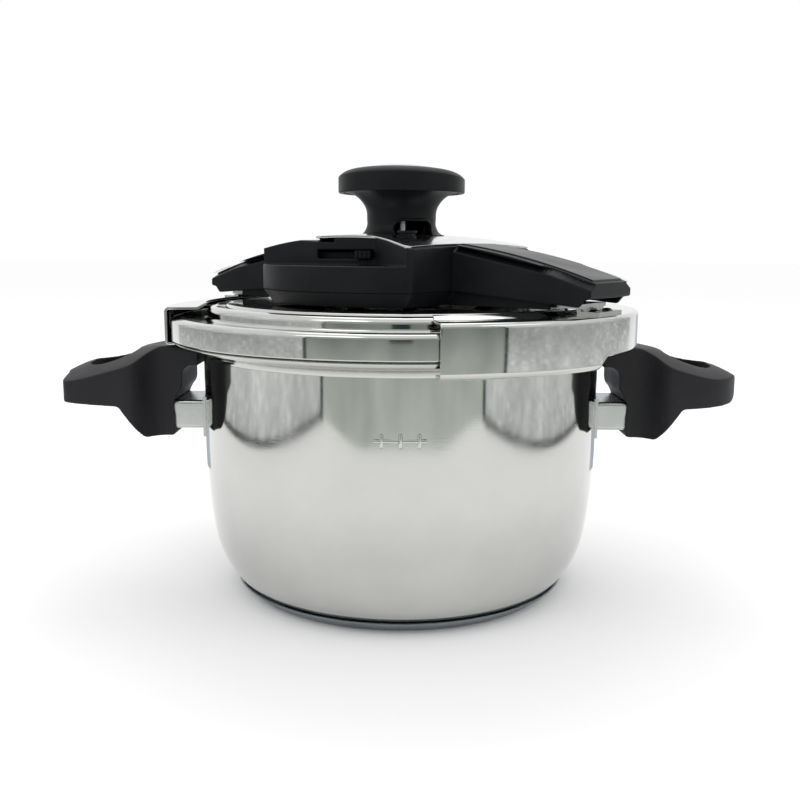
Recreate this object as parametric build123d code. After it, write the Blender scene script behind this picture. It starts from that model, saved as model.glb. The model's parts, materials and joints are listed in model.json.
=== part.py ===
from build123d import *
from math import acos, atan2, cos, degrees, pi, radians, sin, sqrt, tan
import os

# Stovetop pressure cooker, 22 cm, with two sliding clamp jaws driven by a central knob.
# Millimetres, +Z up. The origin is the centre of the base, on the hob. Heights in this
# file are counted from a datum FLOOR_Z below the hob, and save() takes FLOOR_Z off.
# The side handles lie along X. The bridge on the lid lies 35 degrees off the +X axis.
# Lid and bridge parts are drawn in the bridge's own frame: x along the bridge, and the
# release recess on the -y side. place() turns them into the cooker's frame.

# ---------------------------------------------------------------- driving dimensions
BRIDGE_ANGLE = -35.0
FLOOR_Z = 12.0            # the hob, above the datum

WALL_R = 111.2            # outside radius of the pot
POT_T = 1.0               # pot wall
BEND_Z = 98.2             # the wall is straight above this height
BELLY = (308.6, 9.7)      # radius and turn in degrees of the gentle arc below the wall
CORNER = (52.9, 32.3)     # of the arc round the bottom corner
FOOT = (6.6, 48.0)        # of the arc into the flat floor
LEVEL_Z = 115.0           # fill-level bar
FLARE_Z = 147.5           # where the rim flare leaves the wall
RIM_R = 127.0
RIM_Z = 153.6

CORE_R = 85.4             # heat-spreading disc
CAP_R = 94.6              # pressed cap over the disc, at its rim
CAP_FLAT_R = 87.5         # its flat underside
CAP_H = 6.9
CAP_T = 0.8
POT_FLOOR_Z = 17.4

SKIRT_R = 128.5           # lid skirt
SKIRT_Z = 154.4
LID_T = 1.0
LID_TOP_Z = 173.4         # flat top of the lid

GASKET_IN_R = 116.5
GASKET_OUT_R = 127.0

JAW_R = 131.8             # outside of the jaw web
JAW_T = 1.5
JAW_TOP_Z = 171.7
JAW_DEEP_Z = 146.0        # lower edge of the deep part
JAW_SHALLOW_Z = 151.0     # lower edge beside the side handle
JAW_HALF_ARC = 47.4
JAW_STEP_ARC = -6.0       # where the lower edge steps up
JAW_LIP_R = 109.4

RACK_Z = 175.2            # underside of both racks
RACK_T = 2.0
TOOTH_MODULE = 1.5
PINION_TEETH = 12
PRESSURE_ANGLE = 25.0
TOOTH_REACH = 1.3         # addendum
TOOTH_ROOT = 1.7          # dedendum
TOOTH_PLAY = 0.16         # taken off each tooth's thickness

DRUM_R = 79.0             # bridge drum
DRUM_HALF = 49.0          # its flat ends
DRUM_Z = 182.0
DRUM_WALL = 2.6
LEDGE_Z = 195.0
BASE_Z = 174.5
BASE_INSET = 5.5          # taper of the lower skirt
ROOF_Z = 178.2            # roof over the racks
ROOF_T = 2.0

DOME_TOP_Z = 212.0        # top plate
DOME_ALONG_R = 219.0      # its curve along the bridge
DOME_ACROSS_R = 1066.0    # and across it
PLATE_T = 1.2
PLATE_HALF = 48.2

ARM_HALF = 25.0           # bridge arms
ARM_END = 127.0
ARM_WALL = 2.5
ARM_BEVEL = 7.0
TRAY_HALF = 22.0
TRAY_END = 104.0

TOWER_R = 19.4            # neck under the knob
TOWER_FOOT_R = 25.0
TOWER_TOP_Z = 236.2
KNOB_R = 35.4
KNOB_Z = 234.0
KNOB_RIM_Z = 242.0
KNOB_TILT = 3.6           # slant of its crown, in degrees
KNOB_HIGH = 20.0          # high side, in degrees past the recess side
KNOB_CAP_R = 27.0
SPINDLE_R = 4.0

PIN_X, PIN_Y = 17.4, -19.6      # pressure indicator
PIN_HEAD_R = 5.4
VALVE_X, VALVE_Y = 0.0, 27.5    # operating valve
SAFETY_X, SAFETY_Y = -32.0, 30.0
STUDS = [(33.0, 38.0), (-33.0, -36.0), (0.0, -42.0)]
BASE_SCREWS = [(30.0, -50.0), (-30.0, -53.0), (30.0, 58.0), (-30.0, 58.0)]
SCREW_BOSS_R = 3.6

RECESS_A = (-11.4, -60.8)       # corners of the release recess
RECESS_B = (18.0, -50.0)
RECESS_C = (47.3, -63.0)
SLOT_Z = 198.4
SLOT_H = 4.6
SLOT_LEN = 30.4
SLIDER_W = 8.7

HANDLE_TIP = 190.6
HANDLE_HALF = 37.0
HANDLE_CROWN_R = 95.0     # crown of its top, across
HANDLE_SLOPE = 16.0       # slope of its top, in degrees
NECK_HALF = 21.0
BRACKET_HALF = 19.0
BRACKET_Z = 103.0
BRACKET_H = 16.0
BRACKET_T = 1.5
BRACKET_END = 138.0
SCREW_X = 131.5
SCREW_R = 2.4


# ---------------------------------------------------------------- helpers
def cyl(radius, low, high, x=0.0, y=0.0):
    """Upright cylinder from low to high."""
    return Pos(x, y, (low + high) / 2) * Cylinder(radius, high - low)


def tube(outer, inner, low, high, x=0.0, y=0.0):
    """Upright tube from low to high."""
    return cyl(outer, low, high, x, y) - cyl(inner, low - 1, high + 1, x, y)


def block(x0, x1, y0, y1, z0, z1):
    """Box between two corners."""
    centre = Pos((x0 + x1) / 2, (y0 + y1) / 2, (z0 + z1) / 2)
    return centre * Box(x1 - x0, y1 - y0, z1 - z0)


def spin(face, arc=360.0, start=0.0):
    """Turn a face drawn in the r-z plane about Z."""
    solid = revolve(Plane.XZ * face, Axis.Z, arc)
    return Rot(0, 0, start) * solid


def side_offset(points, distance):
    """Move an open outline sideways, to its left for a positive distance."""
    moved = []
    last = len(points) - 1
    for i, (x, y) in enumerate(points):
        normals = []
        for a, b in ((i - 1, i), (i, i + 1)):
            if a < 0 or b > last:
                continue
            dx = points[b][0] - points[a][0]
            dy = points[b][1] - points[a][1]
            length = sqrt(dx * dx + dy * dy)
            normals.append((-dy / length, dx / length))
        nx = sum(n[0] for n in normals) / len(normals)
        ny = sum(n[1] for n in normals) / len(normals)
        scale = distance / (nx * nx + ny * ny)
        moved.append((x + nx * scale, y + ny * scale))
    return moved


def turn_sign(before, corner, after):
    """+1 where an outline turns left, -1 where it turns right."""
    cross = (corner[0] - before[0]) * (after[1] - corner[1])
    cross -= (corner[1] - before[1]) * (after[0] - corner[0])
    return 1 if cross > 0 else -1


def sheet(points, radii, thickness):
    """Section of a bent sheet: the outline and a copy one thickness to its left."""
    inner = side_offset(points, thickness)
    inner_radii = []
    for i, radius in enumerate(radii):
        side = turn_sign(*points[i:i + 3])
        inner_radii.append(max(radius - side * thickness, 0.2))
    outer_line = FilletPolyline(*points, radius=radii)
    inner_line = FilletPolyline(*inner, radius=inner_radii)
    ends = [Line(points[0], inner[0]), Line(points[-1], inner[-1])]
    return make_face(outer_line.edges() + inner_line.edges() + ends)


def polygon(points):
    """Closed face through the points."""
    return make_face(Polyline(*points, close=True).edges())


def soften(shape, edges, radius):
    """Round the edges, and keep the shape as it is where the kernel can't."""
    try:
        rounded = fillet(edges, radius)
    except ValueError:
        return shape
    return rounded if rounded.is_valid else shape


def place(shape):
    """From the bridge's frame into the cooker's frame."""
    return Rot(0, 0, BRIDGE_ANGLE) * shape


def opposite(shape):
    """The same part on the other side of the axis."""
    return Rot(0, 0, 180) * shape


def coil(radius, wire, low, high, turns, x, y):
    """Compression spring standing on low, its ends inside low and high."""
    rise = high - low - 2 * wire
    path = Helix(pitch=rise / turns, height=rise, radius=radius)
    section = Plane(origin=path @ 0, z_dir=path % 0) * Circle(wire)
    return Pos(x, y, low + wire) * sweep(section, path=path)


# ---------------------------------------------------------------- pot
def pot_curve(inset):
    """Pot wall, corner and floor, moved in by inset."""
    start = (WALL_R - inset, BEND_Z)
    belly = JernArc(start, (0, -1), BELLY[0] - inset, -BELLY[1])
    corner = JernArc(belly @ 1, belly % 1, CORNER[0] - inset, -CORNER[1])
    foot = JernArc(corner @ 1, corner % 1, FOOT[0] - inset, -FOOT[1])
    floor = Line(foot @ 1, (0, (foot @ 1).Y))
    return [belly, corner, foot, floor]


def pot_body():
    """Drawn pot with its flared rim and an embossed fill-level bar."""
    outer = pot_curve(0)
    inner = pot_curve(POT_T)
    wall = [(WALL_R, BEND_Z), (WALL_R, FLARE_Z), (RIM_R, RIM_Z)]
    wall_in = side_offset(wall, POT_T)
    lines = [FilletPolyline(*wall, radius=[3.0]), FilletPolyline(*wall_in, radius=[2.0])]
    lines.append(Line(wall[-1], wall_in[-1]))
    lines.append(Line(outer[-1] @ 1, inner[-1] @ 1))
    edges = [e for part in outer + inner + lines for e in part.edges()]
    pot = spin(make_face(edges))
    ring = tube(WALL_R + 0.5, WALL_R - 0.5, 100, 130)
    mark = Plane.XZ * Pos(0, LEVEL_Z)
    bar = mark * SlotOverall(26.0, 2.4)
    ticks = [mark * Pos(x, 0) * SlotOverall(8.0, 2.0, rotation=90) for x in (-9.0, 9.0)]
    for shape in [bar] + ticks:
        pot += ring & extrude(shape, WALL_R + 4)
    return pot


def base_core():
    return cyl(CORE_R, FLOOR_Z + CAP_T, POT_FLOOR_Z)


def base_cap():
    rim_z = FLOOR_Z + CAP_H
    section = sheet([(0, FLOOR_Z), (CAP_FLAT_R, FLOOR_Z), (CAP_R, rim_z)], [4.0], CAP_T)
    return spin(section)


def handle_bracket():
    """Welded steel box strap that carries the right-hand handle."""
    z1 = BRACKET_Z + BRACKET_H
    box = block(100, BRACKET_END, -BRACKET_HALF, BRACKET_HALF, BRACKET_Z, z1)
    box = soften(box, box.edges().filter_by(Axis.X), 2.0)
    inner_half = BRACKET_HALF - BRACKET_T
    box -= block(90, BRACKET_END + 1, -inner_half, inner_half, BRACKET_Z - 1, z1 - BRACKET_T)
    box += cyl(5.0, BRACKET_Z + 4, z1 - BRACKET_T / 2, SCREW_X)
    box -= cyl(SCREW_R + 0.05, BRACKET_Z, z1 - BRACKET_T, SCREW_X)
    box -= cyl(WALL_R + 0.02, 90, 140)
    pad = tube(WALL_R + 1.4, WALL_R + 0.02, BRACKET_Z - 3, z1 + 3)
    pad &= block(90, 120, -27, 27, 90, 140)
    pad -= block(90, 120, -inner_half, inner_half, 90, z1 - BRACKET_T)
    return box + pad


def handle_outline():
    """Plan of the right-hand side handle, from the neck to the rounded tip."""
    side = [Line((112.9, -NECK_HALF), (128.0, -NECK_HALF))]
    side.append(Spline((128.0, -NECK_HALF), (146.0, -HANDLE_HALF + 1),
                       (158.0, -HANDLE_HALF), tangents=[(1, 0), (1, 0)]))
    tip = Spline((158.0, -HANDLE_HALF), (184.5, -22.0), (HANDLE_TIP, 0.0), (184.5, 22.0),
                 (158.0, HANDLE_HALF), tangents=[(1, 0), (-1, 0)])
    edges = [e for part in side for e in part.edges()]
    far = [e.mirror(Plane.XZ) for e in edges]
    wall = Line((112.9, -NECK_HALF), (112.9, NECK_HALF))
    return make_face(edges + far + tip.edges() + wall.edges())


def handle_side():
    """Side view of the right-hand handle."""
    top = Spline((112.9, 146.5), (122.0, 149.3), (136.0, 149.6), (160.0, 144.9),
                 (182.0, 137.6), (HANDLE_TIP, 131.6))
    tip = ThreePointArc((HANDLE_TIP, 131.6), (189.8, 124.4), (182.0, 119.8))
    under = FilletPolyline((182.0, 119.8), (153.5, 118.0), (141.0, 99.5), (126.5, 99.5),
                           (126.5, BRACKET_Z + 8), radius=[3.0, 1.5, 1.5])
    inner = Line((126.5, BRACKET_Z + 8), (112.9, BRACKET_Z + 8))
    wall = Line((112.9, BRACKET_Z + 8), (112.9, 146.5))
    parts = [top, tip, under, inner, wall]
    return make_face([e for part in parts for e in part.edges()])


def side_handle():
    """Heat-proof loop handle with its finger opening and the arch over the bracket."""
    body = extrude(handle_outline(), 60)
    body = Pos(0, 0, 95) * body
    body &= extrude(Plane.XZ * handle_side(), 60, both=True)
    crown = Cylinder(HANDLE_CROWN_R, 400, rotation=(0, 90 + HANDLE_SLOPE, 0))
    drop = HANDLE_CROWN_R / cos(radians(HANDLE_SLOPE))
    body &= Pos(132.0, 0, 152.4 - drop) * crown
    finger = Pos(161.5, 0, 90) * extrude(SlotOverall(46.0, 27.0, rotation=90), 80)
    body -= finger
    body = soften(body, body.edges().filter_by(GeomType.BSPLINE).group_by(Axis.Z)[-1], 1.5)
    half = NECK_HALF + 1
    room = Pos(112.5, 0, BRACKET_Z + 12) * Rot(90, 0, 0) * Cylinder(14.5, 2 * half)
    room += block(105, 122, -half, half, BRACKET_Z + 12, 139.0)
    room = soften(room, room.edges().filter_by(Axis.Y), 6.0)
    body -= room
    gap = 0.15
    body -= block(105, BRACKET_END + gap, -BRACKET_HALF - gap, BRACKET_HALF + gap,
                  BRACKET_Z - gap, BRACKET_Z + BRACKET_H + gap)
    body -= cyl(SCREW_R + 0.1, 90, BRACKET_Z + 5, SCREW_X)
    body -= cyl(4.6, 90, 102.2, SCREW_X)
    return body


def handle_screw():
    head = cyl(4.4, 99.8, 102.2, SCREW_X)
    head -= Pos(SCREW_X, 0, 99.0) * extrude(RegularPolygon(1.8, 6), 2.2)
    return head + cyl(SCREW_R, 102.2, BRACKET_Z + BRACKET_H - BRACKET_T - 0.2, SCREW_X)


# ---------------------------------------------------------------- lid
def lid_shell():
    """Pressed lid: flat top, stepped ring, shallow valley, rounded skirt."""
    outline = [(0, LID_TOP_Z), (97.0, LID_TOP_Z), (98.8, 171.9), (103.0, 172.7),
               (108.5, 171.9), (108.5, 165.0), (124.0, 166.9), (SKIRT_R, 166.0),
               (SKIRT_R, SKIRT_Z)]
    lid = spin(sheet(outline, [1.5, 1.5, 2.0, 3.2, 2.2, 4.0, 2.6], -LID_T))
    lid -= cyl(3.3, 160, 180, PIN_X, PIN_Y)
    lid -= cyl(5.3, 160, 180, VALVE_X, VALVE_Y)
    lid -= cyl(4.3, 160, 180, SAFETY_X, SAFETY_Y)
    return lid


def lid_gasket():
    """Sealing ring between the lid and the flared rim."""
    slope = (RIM_Z - FLARE_Z) / (RIM_R - WALL_R)
    low_in = FLARE_Z + (GASKET_IN_R - WALL_R) * slope + 1.4
    low_out = FLARE_Z + (GASKET_OUT_R - WALL_R) * slope + 1.4
    outline = [(GASKET_IN_R, low_in), (GASKET_OUT_R, low_out), (GASKET_OUT_R, 163.0),
               (124.6, 165.2), (117.5, 164.4), (GASKET_IN_R, 163.6)]
    lip = polygon(outline)
    groove = polygon([(GASKET_IN_R - 1, 156.6), (122.0, 158.6), (GASKET_IN_R - 1, 160.6)])
    return spin(lip - groove)


def lid_studs():
    return [cyl(2.5, LID_TOP_Z, 186.0, x, y) for x, y in STUDS]


def lid_nuts():
    """Hexagon nuts that hold the bridge to the lid."""
    nuts = []
    for x, y in STUDS:
        nut = Pos(x, y, ROOF_Z + ROOF_T) * extrude(RegularPolygon(4.6, 6), 4.0)
        nuts.append(nut - cyl(2.56, 170, 190, x, y))
    return nuts


def indicator_seal():
    """Grommet that guides and seals the pressure indicator."""
    seal = tube(3.3, 1.85, 172.0, 173.8, PIN_X, PIN_Y)
    seal += tube(4.4, 1.85, 173.4, 174.8, PIN_X, PIN_Y)
    seal += tube(4.4, 1.85, 170.6, 172.4, PIN_X, PIN_Y)
    return seal


def pressure_indicator():
    """Cup-headed pin that rises with the pressure."""
    cup = [(0, 206.6), (2.6, 206.6), (4.4, 208.4), (4.4, 211.4), (PIN_HEAD_R, 212.2),
           (PIN_HEAD_R, 213.2), (4.2, 213.2), (3.2, 211.6), (0, 211.2)]
    pin = Pos(PIN_X, PIN_Y, 0) * spin(polygon(cup))
    pin += cyl(1.8, 165.6, 207.0, PIN_X, PIN_Y)
    pin += cyl(3.0, 163.6, 165.8, PIN_X, PIN_Y)
    return pin


def valve_body():
    """Operating valve seat through the lid."""
    body = cyl(5.2, 166.0, 184.0, VALVE_X, VALVE_Y)
    body += tube(8.0, 5.2, LID_TOP_Z + 0.9, 176.4, VALVE_X, VALVE_Y)
    body += cyl(7.2, 176.4, 184.0, VALVE_X, VALVE_Y)
    body -= cyl(2.2, 160, 190, VALVE_X, VALVE_Y)
    body -= cyl(6.0, 181.5, 190, VALVE_X, VALVE_Y)
    body -= Pos(VALVE_X, VALVE_Y, 180.9) * Cone(2.1, 3.9, 2.4)
    return body


def valve_seal():
    return tube(8.0, 5.25, LID_TOP_Z, LID_TOP_Z + 0.9, VALVE_X, VALVE_Y)


def valve_nut():
    nut = Pos(VALVE_X, VALVE_Y, 168.4) * extrude(RegularPolygon(8.6, 6), 4.0)
    return nut - cyl(5.25, 160, 180, VALVE_X, VALVE_Y)


def valve_hood():
    """Perforated shield that keeps food out of the valve."""
    hood = tube(10.4, 9.6, 160.5, 168.0, VALVE_X, VALVE_Y)
    hood += tube(10.4, 5.25, 167.4, 168.2, VALVE_X, VALVE_Y)
    hood += cyl(10.4, 159.8, 160.6, VALVE_X, VALVE_Y)
    for i in range(8):
        window = Pos(VALVE_X, VALVE_Y, 164.0) * Rot(0, 0, i * 45)
        hood -= window * Pos(10, 0, 0) * Box(4, 2.6, 4)
    return hood


def valve_weight():
    """Loaded cone that lifts when the working pressure is reached."""
    weight = cyl(5.6, 182.0, 190.0, VALVE_X, VALVE_Y)
    weight += Pos(VALVE_X, VALVE_Y, 180.9) * Cone(1.6, 3.4, 2.4)
    weight -= cyl(4.6, 187.0, 191.0, VALVE_X, VALVE_Y)
    return weight


def valve_spring():
    return coil(3.3, 0.5, 187.0, 198.6, 6, VALVE_X, VALVE_Y)


def safety_valve_body():
    body = cyl(4.2, 167.0, 180.0, SAFETY_X, SAFETY_Y)
    body += cyl(7.0, LID_TOP_Z, 177.4, SAFETY_X, SAFETY_Y)
    body += cyl(6.0, 177.4, 184.0, SAFETY_X, SAFETY_Y)
    body -= cyl(1.8, 160, 190, SAFETY_X, SAFETY_Y)
    body -= cyl(4.8, 179.0, 190, SAFETY_X, SAFETY_Y)
    return body


def safety_valve_nut():
    nut = Pos(SAFETY_X, SAFETY_Y, 168.4) * extrude(RegularPolygon(7.2, 6), 4.0)
    return nut - cyl(4.25, 160, 180, SAFETY_X, SAFETY_Y)


def safety_plunger():
    plunger = cyl(4.4, 179.3, 182.0, SAFETY_X, SAFETY_Y)
    return plunger + cyl(1.5, 182.0, 193.0, SAFETY_X, SAFETY_Y)


def safety_spring():
    return coil(2.6, 0.45, 182.0, 190.6, 5, SAFETY_X, SAFETY_Y)


def safety_cap():
    """Cap that the safety spring pushes against."""
    cap = tube(7.2, 6.05, 180.0, 192.0, SAFETY_X, SAFETY_Y)
    cap += tube(7.2, 1.7, 190.6, 192.0, SAFETY_X, SAFETY_Y)
    return cap


# ---------------------------------------------------------------- clamp jaws
def jaw():
    """Front jaw: a curved channel that grips the lid and the rim."""
    top = [(JAW_LIP_R, 174.1), (114.2, JAW_TOP_Z), (JAW_R, JAW_TOP_Z)]
    deep = sheet(top + [(JAW_R, JAW_DEEP_Z), (118.4, JAW_DEEP_Z)], [3.0, 2.6, 3.4], -JAW_T)
    shallow = sheet(top + [(JAW_R, JAW_SHALLOW_Z), (126.2, JAW_SHALLOW_Z)], [3.0, 2.6, 2.2],
                    -JAW_T)
    step = JAW_STEP_ARC + JAW_HALF_ARC
    parts = spin(deep, step, -JAW_HALF_ARC)
    parts += spin(shallow, 2 * JAW_HALF_ARC - step, JAW_STEP_ARC)
    for y in (-8.0, 8.0):
        parts -= cyl(1.55, 160, 180, 121.5, y)
    return parts


def rack_teeth(first, count, pitch):
    """Trapezoid teeth that point at +y, with their pitch line on y = 0."""
    half = pi * TOOTH_MODULE / 4 - TOOTH_PLAY / 2
    slope = tan(radians(PRESSURE_ANGLE))
    tip = half - TOOTH_REACH * slope
    foot = half + TOOTH_ROOT * slope
    teeth = []
    for i in range(count):
        x = first + i * pitch
        teeth.append(polygon([(x - foot, -TOOTH_ROOT), (x + foot, -TOOTH_ROOT),
                              (x + tip, TOOTH_REACH), (x - tip, TOOTH_REACH)]))
    return teeth


def rack():
    """Front rack: toothed bar beside the pinion, wide tongue, foot on the jaw."""
    pitch_r = TOOTH_MODULE * PINION_TEETH / 2
    pitch = pi * TOOTH_MODULE
    bar_y = -pitch_r - TOOTH_ROOT
    bar = polygon([(-24, bar_y - 6), (-24, bar_y), (50, bar_y), (50, 16.6),
                   (117.2, 16.6), (117.2, bar_y - 6)])
    for tooth in rack_teeth(-4.5 * pitch, 7, pitch):
        bar += Pos(0, -pitch_r) * tooth
    bar -= Pos(72.9, 0) * SlotOverall(19.2, 4.4)
    plate = Pos(0, 0, RACK_Z) * extrude(bar, RACK_T)
    plate += block(115.2, 117.2, -14, 14, JAW_TOP_Z, RACK_Z + RACK_T)
    plate += block(115.2, 127.0, -14, 14, JAW_TOP_Z, JAW_TOP_Z + RACK_T)
    for y in (-8.0, 8.0):
        plate -= cyl(1.55, 160, 174.5, 121.5, y)
    return plate


def rack_rivets():
    """Two rivets through the jaw's flange and the rack's foot."""
    rivets = []
    for y in (-8.0, 8.0):
        head = spin(make_face([*ThreePointArc((0, 174.8), (1.9, 174.5), (3.0, 173.7)).edges(),
                               *Line((3.0, 173.7), (0, 173.7)).edges(),
                               *Line((0, 173.7), (0, 174.8)).edges()]))
        tail = cyl(2.6, JAW_TOP_Z - JAW_T - 0.8, JAW_TOP_Z - JAW_T)
        shank = cyl(1.5, JAW_TOP_Z - JAW_T - 0.4, 173.9)
        rivets.append(Pos(121.5, y, 0) * (head + tail + shank))
    return rivets


def guide_posts():
    """Posts under the roof that run in the racks' slots."""
    return [tube(2.0, 0.9, LID_TOP_Z + 0.3, ROOF_Z, x) for x in (80.0, -80.0)]


def drive_pinion():
    """Pinion with involute teeth, one of them pointing at each rack."""
    pitch_r = TOOTH_MODULE * PINION_TEETH / 2
    base_r = pitch_r * cos(radians(PRESSURE_ANGLE))
    tip_r = pitch_r + TOOTH_REACH
    root_r = pitch_r - TOOTH_ROOT
    half = (pi * TOOTH_MODULE / 2 - TOOTH_PLAY) / 2 / pitch_r
    inv = tan(radians(PRESSURE_ANGLE)) - radians(PRESSURE_ANGLE)
    flank = [(root_r, half + inv)]
    steps = 5
    for i in range(steps + 1):
        r = base_r + (tip_r - base_r) * i / steps
        a = acos(base_r / r)
        flank.append((r, half + inv - (tan(a) - a)))
    gear = Circle(root_r + 0.3)
    for i in range(PINION_TEETH):
        centre = -pi / 2 + 2 * pi * i / PINION_TEETH
        right = [(r * cos(centre - a), r * sin(centre - a)) for r, a in flank]
        left = [(r * cos(centre + a), r * sin(centre + a)) for r, a in flank]
        gear += polygon([(0, 0)] + right + left[::-1])
    pinion = Pos(0, 0, RACK_Z - 0.4) * extrude(gear, RACK_T + 0.8)
    return pinion - cyl(SPINDLE_R + 0.02, 170, 180)


# ---------------------------------------------------------------- bridge housing
def drum_plan(inset):
    """Plan of the bridge drum: a circle with two flat ends."""
    plan = Circle(DRUM_R - inset) & Rectangle(2 * (DRUM_HALF - inset), 200)
    return fillet(plan.vertices(), max(6.0 - inset, 0.6))


def housing_base():
    """Lower skirt, rack roof and the trays under both arms."""
    low = Pos(0, 0, BASE_Z) * drum_plan(BASE_INSET)
    high = Pos(0, 0, DRUM_Z) * drum_plan(0)
    base = loft([low.faces()[0], high.faces()[0]])
    tray = block(-TRAY_END, TRAY_END, -TRAY_HALF, TRAY_HALF, BASE_Z, DRUM_Z)
    tray -= block(-120, 120, -TRAY_HALF + 2, TRAY_HALF - 2, ROOF_Z + ROOF_T, 190)
    base += tray
    inner = drum_plan(BASE_INSET + DRUM_WALL)
    base -= Pos(0, 0, BASE_Z - 1) * extrude(inner, ROOF_Z - BASE_Z + 1)
    base -= Pos(0, 0, ROOF_Z + ROOF_T) * extrude(inner, 10)
    base -= block(-120, 120, -TRAY_HALF + 2.5, TRAY_HALF - 2.5, 170, ROOF_Z)
    base -= cyl(6.52, 170, 190)
    base -= cyl(2.6, 170, 190, PIN_X, PIN_Y)
    base -= cyl(9.0, 170, 190, VALVE_X, VALVE_Y)
    base -= cyl(8.0, 170, 190, SAFETY_X, SAFETY_Y)
    for x, y in STUDS:
        base += tube(5.0, 2.6, LID_TOP_Z + 0.2, ROOF_Z + 0.1, x, y)
        base -= cyl(2.6, 170, 190, x, y)
    for x, y in BASE_SCREWS:
        base -= cyl(1.6, 170, 190, x, y)
    return base


def dome(top_z):
    """Ring whose highest part is the domed surface at top_z."""
    ring = Torus(DOME_ACROSS_R - DOME_ALONG_R, DOME_ALONG_R, rotation=(0, 90, 0))
    return Pos(0, 0, top_z - DOME_ACROSS_R) * ring


def recess_cut():
    """Space of the release recess above the ledge."""
    outline = [(-70, RECESS_A[1]), RECESS_A, RECESS_B, RECESS_C, (RECESS_C[0], -90), (-70, -90)]
    return Pos(0, 0, LEDGE_Z) * extrude(polygon(outline), 40)


def recess_inner():
    """The recess with its walls' thickness round it."""
    w = DRUM_WALL
    outline = [(-70, RECESS_A[1] + w), (RECESS_A[0] + 0.5, RECESS_A[1] + w),
               (RECESS_B[0], RECESS_B[1] + w), (RECESS_C[0] + w, RECESS_C[1] + w),
               (RECESS_C[0] + w, -90), (-70, -90)]
    return Pos(0, 0, LEDGE_Z - w) * extrude(polygon(outline), 40)


def slot_frame():
    """Place on the recess's middle face: x along it, -y out of it."""
    angle = degrees(atan2(RECESS_B[1] - RECESS_A[1], RECESS_B[0] - RECESS_A[0]))
    x = (RECESS_A[0] + RECESS_B[0]) / 2
    y = (RECESS_A[1] + RECESS_B[1]) / 2
    return Pos(x, y, SLOT_Z + SLOT_H / 2) * Rot(0, 0, angle)


def housing_drum():
    """Upper drum with the ledge, the release recess and its slot."""
    plan = drum_plan(0)
    drum = Pos(0, 0, DRUM_Z + 0.05) * extrude(plan, 40)
    drum = soften(drum, drum.edges().filter_by(Axis.Z), 1.0)
    drum &= dome(DOME_TOP_Z - PLATE_T - 0.02)
    drum -= recess_cut()
    corner = [(-60, -70), RECESS_A, (-43.0, -18.0), (-60, -14)]
    drum -= Rot(0, 3.2, 0) * Pos(0, 0, 206.3) * extrude(polygon(corner), 20)
    hollow = Pos(0, 0, DRUM_Z - 1) * extrude(drum_plan(DRUM_WALL), 40)
    hollow &= dome(DOME_TOP_Z - PLATE_T - DRUM_WALL)
    hollow -= block(-60, -34, -62, -14, 203.0, 230)
    hollow -= recess_inner()
    drum -= hollow
    for x, y in BASE_SCREWS:
        drum += tube(SCREW_BOSS_R, 1.55, ROOF_Z + ROOF_T + 0.1, LEDGE_Z - 2.0, x, y)
    drum -= slot_frame() * Box(SLOT_LEN, 12, SLOT_H)
    drum -= cyl(15.0, 190, 230)
    drum -= cyl(PIN_HEAD_R + 0.7, 190, 230, PIN_X, PIN_Y)
    return drum


def top_plate():
    """Polished domed plate over the drum."""
    a = (RECESS_A[0], RECESS_A[1] - 0.4)
    b = (RECESS_B[0], RECESS_B[1] - 0.4)
    c = (RECESS_C[0] - 0.4, RECESS_C[1] - 0.2)
    chamfer_corner = (-43.0, -18.0)
    outline = polygon([a, b, c, (PLATE_HALF, -60), (PLATE_HALF, 90), (-PLATE_HALF, 90),
                       (-PLATE_HALF, -18), chamfer_corner])
    outline &= Circle(DRUM_R - 1.0)
    plate = Pos(0, 0, 190) * extrude(outline, 30)
    plate &= dome(DOME_TOP_Z)
    plate -= dome(DOME_TOP_Z - PLATE_T)
    plate -= cyl(15.0, 190, 230)
    plate -= cyl(PIN_HEAD_R + 0.7, 190, 230, PIN_X, PIN_Y)
    return plate


def arm_top(drop):
    """Top curve of an arm, lowered by drop."""
    return ThreePointArc((48.0, 206.2 - drop), (105.5, 194.6 - drop), (ARM_END, 187.8 - drop))


def arm():
    """Front arm: hollow cover from the drum to the jaw."""
    top = arm_top(0)
    bottom = FilletPolyline((ARM_END, 187.8), (ARM_END, 180.4), (123.4, 179.8),
                            (120.5, 176.2), (48.0, DRUM_Z + 0.2), radius=[1.0, 1.5, 1.5])
    inner_end = Line((48.0, DRUM_Z + 0.2), (48.0, 206.2))
    side = make_face(top.edges() + bottom.edges() + inner_end.edges())
    shape = extrude(Plane.XZ * side, ARM_HALF, both=True)
    lean = ARM_BEVEL
    for sign in (-1, 1):
        corner = polygon([(sign * (ARM_HALF - lean), 0), (sign * (ARM_HALF + 2), 0),
                          (sign * (ARM_HALF + 2), -4.2)])
        wedge = [Pos(x, 0, z) * (Plane.YZ * corner) for x, z in
                 ((40.0, 207.6), (105.5, 194.6), (135.0, 185.0))]
        shape -= loft([f.faces()[0] for f in wedge], ruled=True)
    shape = soften(shape, shape.edges().filter_by(Axis.Z).group_by(Axis.X)[-1], 2.0)
    room_side = [(47.0, 170.0), (47.0, DRUM_Z + 0.3), (52.0, DRUM_Z + 0.3), (52.0, 201.4),
                 (105.5, 190.6), (ARM_END - ARM_WALL, 184.0), (ARM_END - ARM_WALL, 170.0)]
    room_half = TRAY_HALF + 0.3
    shape -= extrude(Plane.XZ * polygon(room_side), room_half, both=True)
    shape -= block(112.0, 126.0, -40, 40, 160, 176.2)
    shape -= arm_cover_seat(0.9, 0.7)
    drum = Pos(0, 0, 150) * extrude(Rectangle(2 * DRUM_HALF + 0.2, 200), 80)
    return shape - drum


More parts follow.
